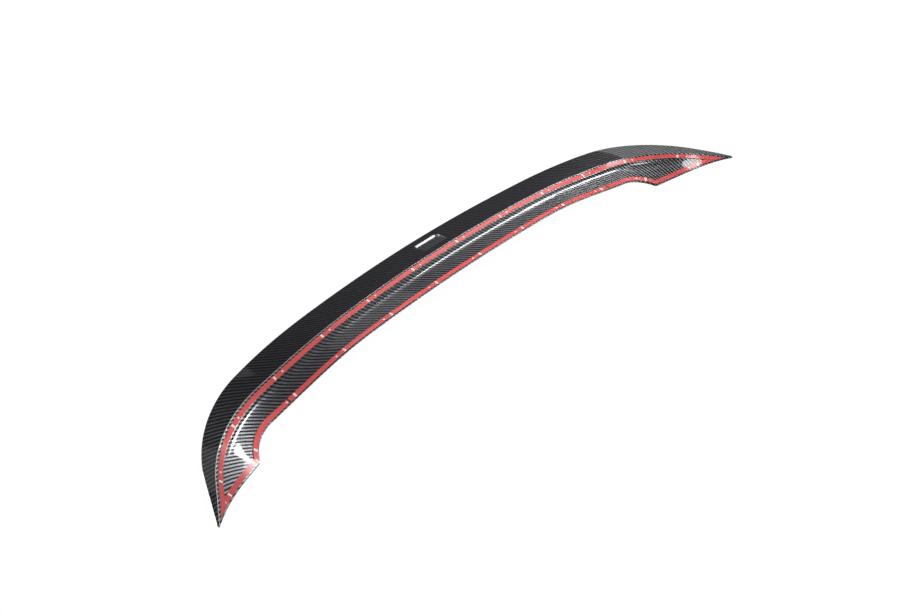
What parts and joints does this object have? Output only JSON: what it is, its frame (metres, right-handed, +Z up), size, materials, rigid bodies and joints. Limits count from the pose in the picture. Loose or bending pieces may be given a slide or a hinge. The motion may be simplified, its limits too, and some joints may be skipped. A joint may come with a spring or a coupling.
{
  "type": "car rear spoiler",
  "caption": "Slim bowed boot-lid lip spoiler of glossy woven carbon laminate with swept, stepped ends, an open underside channel and red-lined adhesive tape along both edges.",
  "frame": {"origin": "under the middle of the part's bounding box, level with the lowest face of the rear tape liner", "axes": "+X to the car's right along the span, +Y towards the car's front, +Z up"},
  "size_m": [1.3048, 0.2279, 0.0417],
  "materials": {
    "carbon_laminate": "clear-coated woven twill laminate",
    "foam_tape": "closed-cell adhesive foam",
    "release_liner": "smooth red film"
  },
  "bodies": {
    "root": {"spoiler_shell": "carbon_laminate", "rear_tape_left": "foam_tape", "rear_tape_centre": "foam_tape", "rear_tape_right": "foam_tape", "front_tape_left": "foam_tape", "front_tape_centre": "foam_tape", "front_tape_right": "foam_tape", "rear_liner_left": "release_liner", "rear_liner_centre": "release_liner", "rear_liner_right": "release_liner", "front_liner_left": "release_liner", "front_liner_centre": "release_liner", "front_liner_right": "release_liner"}
  },
  "joints": []
}
